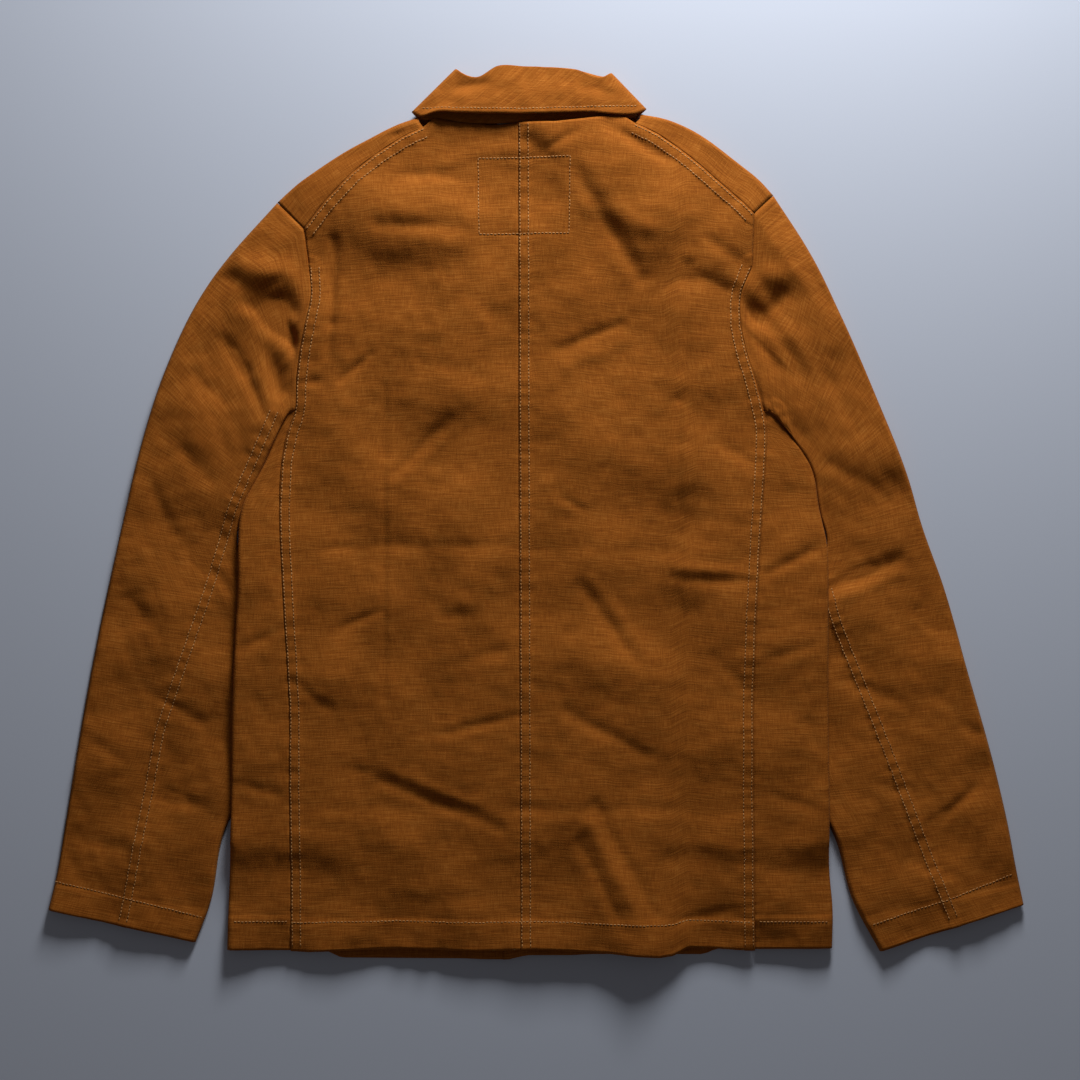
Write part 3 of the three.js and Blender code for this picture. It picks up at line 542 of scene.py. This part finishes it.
ARM_CREASES_L = table(
    "x0 y0 x1 y1 half high",
    (-258, 214, -212, 206, 11, 3.6), (-243, 186, -214, 176, 10, -4.6), (-236, 168, -214, 150, 10, -4.8),
    (-234, 140, -226, 104, 9, -4.2), (-224, 168, -206, 136, 6, -3.0), (-256, 184, -240, 172, 6, -2.4),
    (-238, 196, -226, 204, 5, -1.6),
    (-275, 151, -257, 123, 6, -2.2), (-257, 123, -240, 88, 6, -2.2), (-268, 205, -246, 190, 7, -1.2),
    (-300, 120, -276, 96, 7, -1.3), (-318, 60, -290, 30, 8, -1.3), (-345, 30, -320, -20, 7, -1.1),
    (-300, -40, -270, -70, 6, -1.3), (-360, -80, -330, -110, 8, -1.2), (-340, -160, -290, -190, 7, -1.3),
    (-395, -200, -365, -220, 7, -1.2), (-330, -250, -290, -262, 7, -1.3), (-400, -290, -360, -300, 7, -1.0),
)
ARM_CREASES_R = table(
    "x0 y0 x1 y1 half high",
    (184, 204, 222, 208, 11, 3.0), (184, 182, 206, 162, 11, -4.8), (203, 172, 216, 190, 7, -3.0),
    (196, 150, 210, 128, 7, -2.6), (216, 268, 258, 184, 7, -1.9),
    (222, 140, 240, 100, 9, -1.5), (258, 120, 282, 70, 8, -1.3), (262, 40, 300, 20, 7, -1.2),
    (258, -69, 318, -43, 7, -2.4), (262, -80, 320, -56, 6, 1.0), (340, -90, 366, -110, 7, -1.2),
    (275, -150, 320, -170, 7, -1.3), (352, -275, 388, -244, 5, -1.6), (300, -240, 345, -250, 7, -1.1),
    (380, -190, 400, -200, 6, -1.1), (330, -310, 372, -322, 6, -1.0),
)
ARM_SEAM_L = np.array([(-222, 93), (-263, 0), (-286, -78), (-326, -193), (-354, -341), (-359, -366)])
ARM_SEAM_R = np.array([(209, 88), (240, -20), (258, -95), (304, -210), (343, -312), (364, -364)])
ROUND = 74  # points across each half of the tube


def armhole_halves(side, sign):
    """The upper half of the armhole, from under the arm up the back to the shoulder's folded edge, and
    the lower half, down the front, each as points at equal steps of length."""
    skirt, wrap = surface[f"front_{side}"][-1], surface[f"shoulder_{side}"]
    ys, xs = edge_of(side)
    y = np.linspace(90, 215, 26)
    back = np.stack([curve(ys, xs, y), y, back_height(curve(ys, xs, y), y)], -1)
    tip = wrap[::-1, -1]
    half = len(tip) - 5
    y = np.linspace(ARM_TOP, ARM_FOOT + 2, 26)
    edge = curve(ARMHOLE["y"], ARMHOLE[f"front_{side}"], y)
    front = np.stack([edge, y, HALF + 0 * y], -1)
    up = np.concatenate([skirt[FOLD_MIDDLE:], back, tip[:half]])
    down = np.concatenate([tip[half - 1:], front, skirt[FRONT_EDGE:FOLD_MIDDLE + 1]])

    def even(points):
        far = np.concatenate([[0], np.cumsum(np.linalg.norm(np.diff(points, axis=0), axis=1))])
        s = np.linspace(0, far[-1], ROUND)
        return np.stack([np.interp(s, far, points[:, i]) for i in range(3)], -1)

    head = np.concatenate([even(up)[:-1], even(down)[:-1]])
    head[:, 0] += sign * 0.15
    head[:, 1] += 0.3 * np.clip((180 - head[:, 1]) / 90, -1, 1)
    return head


def sleeve_grid(side, sign, rings, creases, seam, seed):
    """A tube through the rings of the table: across each, the two layers stand apart by its height and
    close on each other round the folds. The armhole's own shape fades out down the first fifth."""
    middle = np.stack([(rings["out_x"] + rings["in_x"]) / 2, (rings["out_y"] + rings["in_y"]) / 2], -1)
    far = np.concatenate([[0], np.cumsum(np.linalg.norm(np.diff(middle, axis=0), axis=1))])
    s = np.linspace(0, far[-1], 262)
    at = {n: curve(far, rings[n], s)[:, None] for n in rings.dtype.names}
    t = np.linspace(0, 1, ROUND)[:-1]
    across = np.concatenate([t, 1 - t])[None]
    up = np.concatenate([np.ones(ROUND - 1), -np.ones(ROUND - 1)])[None]
    width = np.hypot(at["out_x"] - at["in_x"], at["out_y"] - at["in_y"]) - 2 * HALF
    radius = (at["high"] - 2 * HALF) / 2
    near = np.clip(np.minimum(across, 1 - across) * width / radius, 0, 1)
    rise = radius * np.sqrt(1 - (1 - near) ** 2)
    w = mix(HALF, width + HALF, across) / (width + 2 * HALF)
    x, y = mix(at["in_x"], at["out_x"], w), mix(at["in_y"], at["out_y"], w)
    z = at["high"] / 2 + up * rise
    grid = np.stack([x, y, z], -1)
    fade = ramp(0.2, 0.0, s / far[-1])[:, None, None]
    grid = grid + (armhole_halves(side, sign) - grid[0]) * fade
    x, y = grid[..., 0], grid[..., 1]
    top = (up > 0) * near
    body_fold = curve(BODY["y"], BODY[f"fold_{side}"], y)
    free = ramp(-8, 6, (x - body_fold) * sign)
    cuff = far[-1] - s[:, None] + 0 * x
    relief = 0.5 + crumple(x, y, seed + 20, 11, 56, 170, 0.8) + crumple(x, y, seed, 40, 13, 60, 0.085)
    relief = (1.35 * lines(x, y, creases) + relief) * np.maximum(free, (y > 20))
    inward = seam if side == "r" else seam[::-1]
    relief = relief + felled(x, y, inward, 9.5, 0.8) * np.maximum(free, y > 20)
    relief = relief * ramp(0, 0.03, s / far[-1])[:, None] + 0.8 * ramp(25.5, 23.5, cuff) * free
    z = grid[..., 2] + relief * top
    least = HALF + 1.4 * top
    grid[..., 2] = np.where(up > 0, np.maximum(z, least), z)
    return grid, (w * width + 300 * (up < 0), s[:, None] + 0 * w)


ARMS = {
    "l": (-1, SLEEVE_L, ARM_CREASES_L, ARM_SEAM_L, 11), "r": (1, SLEEVE_R, ARM_CREASES_R, ARM_SEAM_R, 12),
}
for side, facts in ARMS.items():
    grid, plan = sleeve_grid(side, *facts)
    word = "left" if side == "l" else "right"
    surface[f"sleeve_{side}"] = grid[:, :ROUND - 1].reshape(-1, 3)
    order = slice(None) if side == "l" else slice(None, None, -1)
    piece = cloth(f"sleeve_{word}_cloth", [(grid[:, order], True)], f"sleeve_{word}",
                  plan=[q[:, order] for q in plan])
    piece.data.materials.append(duck(f"duck_sleeve_{word}", 0.0, 3.0 + facts[0]))

# ---------------------------------------------------------------- the collar
# Two plies of duck sewn together round their edge. It stands up from the neck seam, rolls over and
# falls on the outside: over the neck at the back, and to two points that lie under the fronts.
TURNS = {"l": ((-99.5, 344), (-68, 383), (-104.5, 347), -1), "r": ((86.5, 346), (63, 380), (92, 350), 1)}
BACK_SECTIONS = table(
    "seam_x seam_y roll_x roll_y edge_x edge_y",
    (-84, 344.4, -54, 379, -87, 349.5), (-58, 341, -34, 388.5, -56, 348.5), (-12, 341.6, -8, 388, -12, 348),
    (42, 344.4, 34, 385.5, 43, 349.5),
)
LEAF_SECTIONS = table(
    "seam_x seam_y roll_x roll_y edge_x edge_y",
    (-89.5, 330, -52, 362, -98, 300), (-60, 295.5, -34, 332, -92, 262), (-15, 276.5, -15, 287, -84, 227),
)
COLLAR_STEPS = table(
    "share roll", (0, 0), (0.5, 0), (1, 0), (1, 0.25), (1, 0.5), (1, 0.75), (1, 1), (0.5, 1), (0, 1))


def collar_section(seam, roll, edge, stand, fall, lift):
    """One section, from the neck seam up to the roll line and down to the free edge, as points."""
    falls = COLLAR_STEPS["roll"] == 1
    end = np.where(falls[:, None], edge, seam)
    d = np.subtract(roll, seam) / np.hypot(*np.subtract(roll, seam))
    bulge = np.sin(np.pi * COLLAR_STEPS["roll"]) * abs(fall - stand) / 2
    xy = mix(end, np.array(roll, float), COLLAR_STEPS["share"][:, None]) + d * bulge[:, None]
    z = mix(stand, fall, (1 - np.cos(np.pi * COLLAR_STEPS["roll"])) / 2)
    z = z + np.where(falls, lift * (1 - COLLAR_STEPS["share"]), 0)
    return np.column_stack([xy, z])


def collar_turn(seam, roll, edge, sign):
    """Round a side of the neck: the section turns from the upper level to the lower one on an arc."""
    d = np.subtract(roll, seam) / np.hypot(*np.subtract(roll, seam))
    out = np.array([sign * abs(d[1]), abs(d[0])])
    high = collar_section(seam, roll, edge, 8.2, 12.2, 0)
    low = collar_section(seam, roll, edge, 3.4, 0.8, 0)
    k = np.linspace(0, 1, 7)[:, None, None]
    xy = mix(high[:, :2], low[:, :2], k) + out * (np.sin(np.pi * k) * ((high - low)[:, 2:] / 2))
    z = mix(low[:, 2:], high[:, 2:], (1 + np.cos(np.pi * k)) / 2)
    return np.concatenate([xy, z], -1)


def pairs(row):
    return [(row[f"{n}_x"], row[f"{n}_y"]) for n in ("seam", "roll", "edge")]


leaf_l = [collar_section(*pairs(r), 3.4, 0.8, 0) for r in LEAF_SECTIONS]
leaf_r = [collar_section(*[(-14 - px, py + 2) for px, py in pairs(r)], 3.4, 0.8, 0)
          for r in LEAF_SECTIONS]
over = [collar_section(*pairs(r), 8.2, 11.6, 5.0) for r in BACK_SECTIONS]
sections = np.stack(leaf_l[::-1] + list(collar_turn(*TURNS["l"])[::-1]) + over
                    + list(collar_turn(*TURNS["r"])) + leaf_r)


def refine(points, rows, columns):
    """Cubics through a net of points, first down its columns and then along its rows."""
    middle = points[:, 4]
    far = np.concatenate([[0], np.cumsum(np.linalg.norm(np.diff(middle, axis=0), axis=1) + 0.5)])
    s = np.linspace(0, far[-1], rows)
    net = np.stack([[curve(far, points[:, j, i], s) for i in range(3)] for j in range(points.shape[1])])
    net = net.transpose(2, 0, 1)
    k = np.linspace(0, points.shape[1] - 1, columns)
    steps = np.arange(points.shape[1], dtype=float)
    i = np.clip(k.astype(int), 0, len(steps) - 2)
    t = (k - i)[None, :, None]
    slope = np.gradient(net, axis=1)
    a, b = net[:, i], net[:, i + 1]
    return a + t * t * (3 - 2 * t) * (b - a) + t * (1 - t) * ((1 - t) * slope[:, i] - t * slope[:, i + 1])


collar_grid = refine(sections, 250, 66)
collar_grid[..., 2] = np.maximum(collar_grid[..., 2], 0.82)
COLLAR_CREASES = table(
    "x0 y0 x1 y1 half high",
    (-68, 371, -44, 375, 5, -2.6), (40, 372, 70, 366, 4, -0.9), (-90, 356, -60, 358, 4, -0.6),
    (10, 380, 40, 374, 5, -0.7), (-30, 362, 20, 366, 6, 0.5),
)
on_top = ramp(9.5, 11.5, collar_grid[..., 2])
cx, cy = collar_grid[..., 0], collar_grid[..., 1]
fall_edge = np.array([(-100, 349), (-56, 348.5), (-12, 348), (43, 349.5), (88, 351)])
edge_far = np.abs(to_line(cx, cy, fall_edge)[0])
collar_grid[..., 2] += on_top * (lines(cx, cy, COLLAR_CREASES) + crumple(cx, cy, 21, high=0.12)
                                 - 0.45 * np.exp(-((edge_far - 4.5) / 1.4) ** 2))
surface["collar"] = collar_grid[collar_grid[..., 2] > 9.5]
collar = cloth("collar_cloth", [(collar_grid, False)], "collar", wall=1.6)
collar.data.materials.append(body_duck)

# ---------------------------------------------------------------- the pockets
# Patch pockets of the same duck, sewn on the fronts by two rows round the sides and the bottom, with
# a turned hem across the mouth. They lie under the fronts, on the surface.
for word, side, kind, flat in (("hip_pocket_left", "l", "hip", (0.173, 0.186)),
                               ("hip_pocket_right", "r", "hip", (0.175, 0.186)),
                               ("chest_pocket", "l", "chest", (0.118, 0.120))):
    sign, placket_x, placket, pockets = FRONTS[side][:4]
    c0, c1, y0, y1 = POCKETS[kind]
    c = np.linspace(c0 + 0.002, c1 - 0.002, 40)[None]
    y = np.linspace(y0 + 1, y1 - 1, 44)[:, None]
    net = surface[f"front_{side}"]
    if kind == "hip":
        edge = np.interp(y, net[:, FRONT_EDGE, 1], net[:, FRONT_EDGE, 0])
    else:
        edge = np.interp(y, np.concatenate([net[:, FRONT_EDGE, 1], ARMHOLE["y"]]),
                         np.concatenate([net[:, FRONT_EDGE, 0], ARMHOLE[f"front_{side}"]]))
    x = placket_x + (edge - placket_x) * c
    z = front_lift(c + 0 * y, y + 0 * c, placket, pockets) + HALF - 1.5
    grid = np.stack([x, y + 0 * x, np.maximum(z, 0.56)], -1)
    surface[word] = grid
    patch = cloth(f"{word}_cloth", [(grid if side == "l" else grid[:, ::-1], False)], word)
    patch.data.materials.append(body_duck)

# ---------------------------------------------------------------- the buttons
# Brown horn-like discs with four holes, a raised rim and a dished face. They are sewn to the right front
# and come through the left one, so they lie on the surface.
def mottled(name, roughness, scale, dark, light):
    """A material that goes from dark to light by a cloudy noise in the piece's own space. Dark and light
    each hold a share of the noise and a colour."""
    made = bpy.data.materials.new(name)
    made.use_nodes = True
    nodes, links = made.node_tree.nodes, made.node_tree.links
    shader = nodes["Principled BSDF"]
    shader.inputs["Roughness"].default_value = roughness
    place = nodes.new("ShaderNodeTexCoord")
    cloud = nodes.new("ShaderNodeTexNoise")
    cloud.inputs["Scale"].default_value = scale
    links.new(place.outputs["Object"], cloud.inputs["Vector"])
    tone = nodes.new("ShaderNodeValToRGB")
    for stop, (share, colour) in zip(tone.color_ramp.elements, (dark, light)):
        stop.position = share
        stop.color = colour
    links.new(cloud.outputs["Fac"], tone.inputs["Fac"])
    links.new(tone.outputs["Color"], shader.inputs["Base Color"])
    return made


horn = mottled("button_horn", 0.38, 140, (0, (0.018, 0.008, 0.004, 1)), (1, (0.095, 0.045, 0.018, 1)))
BUTTON_PROFILE = table(
    "r z", (0, 1.2), (1.1, 1.2), (5.0, 1.0), (6.2, 0.1), (7.3, 0.0), (8.2, 0.5), (8.5, 1.5), (8.2, 2.7),
    (7.2, 3.2), (3.0, 3.2), (0, 3.2))
for number in range(5):
    a = np.linspace(0, 2 * np.pi, 41)[:-1]
    far = np.arange(len(BUTTON_PROFILE), dtype=float)
    k = np.linspace(0, len(far) - 1, 31)
    r, z = np.interp(k, far, BUTTON_PROFILE["r"]), np.interp(k, far, BUTTON_PROFILE["z"])
    ring = np.stack([np.outer(r, np.cos(a)) - 9, np.outer(r, np.sin(a)) + 243 - 112 * number,
                     np.repeat(z[:, None], len(a), 1)], -1)[1:-1]
    count = len(a)
    ids = np.arange(ring.shape[0] * count).reshape(-1, count)
    turned = np.roll(ids, -1, axis=1)
    faces = np.stack([ids[:-1], ids[1:], turned[1:], turned[:-1]], -1).reshape(-1, 4).tolist()
    faces += [ids[0].tolist(), ids[-1][::-1].tolist()]
    disc = smooth_piece(f"button_{number + 1}_disc", ring.reshape(-1, 3), faces)
    disc.data.materials.append(horn)
    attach(disc, "root")
    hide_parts(f"button_{number + 1}")

# ---------------------------------------------------------------- the topstitching
# Light tan cotton thread, one stitch every 3.2 mm, in two rows along each felled seam and in one row
# along the hem, the cuffs and the collar's edge. Each stitch is a short soft-ended bead of thread.
thread = mottled("thread_tan", 0.7, 90, (0.35, (0.34, 0.15, 0.036, 1)), (0.65, (0.54, 0.28, 0.090, 1)))
PITCH, STITCH_LONG, STITCH_THICK = 3.2, 2.3, 0.48
SWAY, TILT = 0.125, 0.12  # how far stitches stray from their row, and their ends from each other


def aside(line, offset):
    """A polyline moved to its left by the offset, each point along the mean normal of its sides."""
    d = np.gradient(np.asarray(line, float), axis=0)
    d /= np.linalg.norm(d, axis=1, keepdims=True)
    return line + offset * np.stack([-d[:, 1], d[:, 0]], -1)


def heights(points, vertices, nearest=4):
    """Height of a surface at points in plan: the mean of its nearest vertices by inverse square."""
    z = np.empty(len(points))
    for i in range(0, len(points), 60):
        d = ((points[i:i + 60, None, :2] - vertices[None, :, :2]) ** 2).sum(-1)
        k = np.argpartition(d, nearest, axis=1)[:, :nearest]
        w = 1 / (np.take_along_axis(d, k, 1) + 0.05)
        z[i:i + 60] = (vertices[k, 2] * w).sum(1) / w.sum(1)
    return z


def row_of_stitches(line, vertices, wall=WALL, under=False):
    """Stitches at equal steps along a line: soft-ended beads of five sides, turned along it and laid on
    the surface. Gives their points and faces."""
    line = np.asarray(line, float)
    far = np.concatenate([[0], np.cumsum(np.linalg.norm(np.diff(line, axis=0), axis=1))])
    s = np.arange(PITCH / 2, far[-1], PITCH)
    ends = [np.stack([np.interp(s + q, far, line[:, i]) for i in (0, 1)], -1)
            for q in (-STITCH_LONG / 2, STITCH_LONG / 2)]
    rng = np.random.default_rng(len(s))
    sway = rng.normal(0, SWAY, (len(s), 1))
    level_sign = -1 if under else 1
    proud = wall / 2 + (-0.3 if under else 0.12)
    a, b = [np.column_stack([e, heights(e, vertices) + level_sign * proud]) for e in ends]
    d = b - a
    d /= np.linalg.norm(d, axis=1, keepdims=True)
    out = np.cross(d, [0, 0, 1.0])
    out /= np.linalg.norm(out, axis=1, keepdims=True)
    up = np.cross(out, d)
    a, b = a + out * sway, b + out * (sway + rng.normal(0, TILT, (len(s), 1)))
    turn = np.linspace(0, 2 * np.pi, 6)[:-1]
    rings = []
    for share, thick in ((0.0, 0.35), (0.16, 1.0), (0.84, 1.0), (1.0, 0.35)):
        r = STITCH_THICK * thick
        centre = mix(a, b, share)[:, None]
        rings.append(centre + r * (np.cos(turn)[None, :, None] * out[:, None]
                                   + 0.85 * np.sin(turn)[None, :, None] * up[:, None]))
    points = np.stack(rings, 1).reshape(-1, 3)
    k = np.arange(5)
    n = (k + 1) % 5
    one = [np.stack([r * 5 + k, r * 5 + n, r * 5 + 5 + n, r * 5 + 5 + k], -1) for r in range(3)]
    quads = (np.concatenate(one)[None] + 20 * np.arange(len(s))[:, None, None]).reshape(-1, 4)
    caps = (np.stack([[4, 3, 2, 1, 0], [15, 16, 17, 18, 19]])[None]
            + 20 * np.arange(len(s))[:, None, None]).reshape(-1, 5)
    return points, quads, caps


def stitching(name, rows):
    """One joined mesh of all the stitches of these rows."""
    points, faces, base = [], [], 0
    for row in rows:
        p, quads, caps = row_of_stitches(*row)
        points.append(p)
        faces += (quads + base).tolist() + (caps + base).tolist()
        base += len(p)
    made = smooth_piece(name, np.concatenate(points), faces)
    made.data.materials.append(thread)
    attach(made, "root")


def between(line, low, high):
    """The part of a line of rising y that lies from low to high."""
    y = np.linspace(low, high, 60)
    return np.stack([np.interp(y, line[:, 1], line[:, 0]), y], -1)


backs = np.concatenate([surface["back_l"], surface["back_r"]])
left, right = between(seam_line("l"), -383, 214), between(seam_line("r"), -383, 214)
centre = between(CENTRE_LINE, -383, 340)
hem_x = np.linspace(-214, 190, 160)
hem_line = np.stack([hem_x, -361 + 0.5 * (np.interp(hem_x, HEM["x"], HEM["y"]) + 386)], -1)
wraps = np.concatenate([surface["wrap_l"], surface["wrap_r"]])
stitching("stitches_back", [
    (aside(left, -1.6), surface["back_l"]), (aside(left, -8.8), surface["back_l"]),
    (aside(right, 1.6), surface["back_r"]), (aside(right, 8.8), surface["back_r"]),
    (aside(centre, -1.2), surface["back_r"]), (aside(centre, -8.6), surface["back_r"]),
    (hem_line, backs), (LABEL_BOX, backs),
    (aside(shoulder_line["l"], 1.8), surface["back_l"]),
    (aside(shoulder_line["l"], 9.2), surface["back_l"]),
    (aside(shoulder_line["r"], -1.8), surface["back_r"]),
    (aside(shoulder_line["r"], -9.2), surface["back_r"]),
    (np.array([(-266, -361), (-219, -361)]), wraps), (np.array([(196, -361), (256, -361)]), wraps),
])
cuff_l = np.array([(-424, -326), (-360, -341), (-293, -358)])
cuff_r = np.array([(296, -364), (360, -343), (420, -320)])
arm_l, arm_r = ARM_SEAM_L[::-1], ARM_SEAM_R[::-1]
stitching("stitches_sleeves", [
    (aside(between(arm_l, -362, 86), 1.6), surface["sleeve_l"]),
    (aside(between(arm_l, -362, 86), 8.6), surface["sleeve_l"]),
    (aside(between(arm_r, -360, -70), -1.6), surface["sleeve_r"]),
    (aside(between(arm_r, -360, -70), -8.6), surface["sleeve_r"]),
    (cuff_l, surface["sleeve_l"]), (cuff_r, surface["sleeve_r"]),
])
stitching("stitches_collar", [(fall_edge + np.array([0, 4.5]), surface["collar"], 1.6)])
under = []
for word in ("hip_pocket_left", "hip_pocket_right", "chest_pocket"):
    g = surface[word]
    for q in (2, 4):
        path = np.concatenate([g[::-1, q, :2], g[q, q:-q, :2], g[:, -1 - q, :2]])
        under.append((path, g.reshape(-1, 3), WALL, True))
g = surface["front_l"]
for column in (1, 9):
    under.append((g[4:, column, :2], g[:, :NECK_COLUMNS].reshape(-1, 3), WALL, True))
stitching("stitches_fronts", under)

# ---------------------------------------------------------------- the floor, the light and the camera
# A pale plain table top, one broad soft light low over the collar's end and a little to the right, and
# a weak even fill. The camera looks straight down.
bpy.ops.mesh.primitive_plane_add(size=8, location=(0, 0, -0.0002))
floor = bpy.context.object
floor.name = "floor"
pale = bpy.data.materials.new("pale_top")
pale.use_nodes = True
pale.node_tree.nodes["Principled BSDF"].inputs["Base Color"].default_value = (0.53, 0.59, 0.71, 1)
pale.node_tree.nodes["Principled BSDF"].inputs["Roughness"].default_value = 0.75
floor.data.materials.append(pale)


def area_light(name, place, target, size, power, colour):
    """A square area light at a place, turned to face its target."""
    data = bpy.data.lights.new(name, "AREA")
    data.size, data.energy, data.color = size, power, colour
    lamp = bpy.data.objects.new(name, data)
    bpy.context.scene.collection.objects.link(lamp)
    lamp.location = place
    way = np.subtract(target, place)
    flat_length = np.hypot(way[0], way[1])
    lamp.rotation_euler = (np.pi / 2 + np.arctan2(way[2], flat_length), 0, np.arctan2(-way[0], way[1]))
    return lamp


area_light("key", (0.26, 1.33, 0.53), (0.0, 0.05, 0.0), 0.42, 27, (1.0, 0.98, 0.96))
area_light("fill", (-0.6, -1.3, 2.4), (0.0, 0.0, 0.0), 2.2, 1.0, (1.0, 0.92, 0.90))
world = bpy.data.worlds.new("studio")
world.use_nodes = True
world.node_tree.nodes["Background"].inputs["Color"].default_value = (1.0, 0.93, 0.92, 1)
world.node_tree.nodes["Background"].inputs["Strength"].default_value = 0.060
bpy.context.scene.world = world
bpy.context.scene.view_settings.view_transform = "Standard"

camera_data = bpy.data.cameras.new("camera")
camera = bpy.data.objects.new("camera", camera_data)
bpy.context.scene.collection.objects.link(camera)
camera.location = (0.0035, -0.0234, 1.9)
camera_data.sensor_width = 36
camera_data.lens = 36 * 1.893 / 0.9504
bpy.context.scene.camera = camera
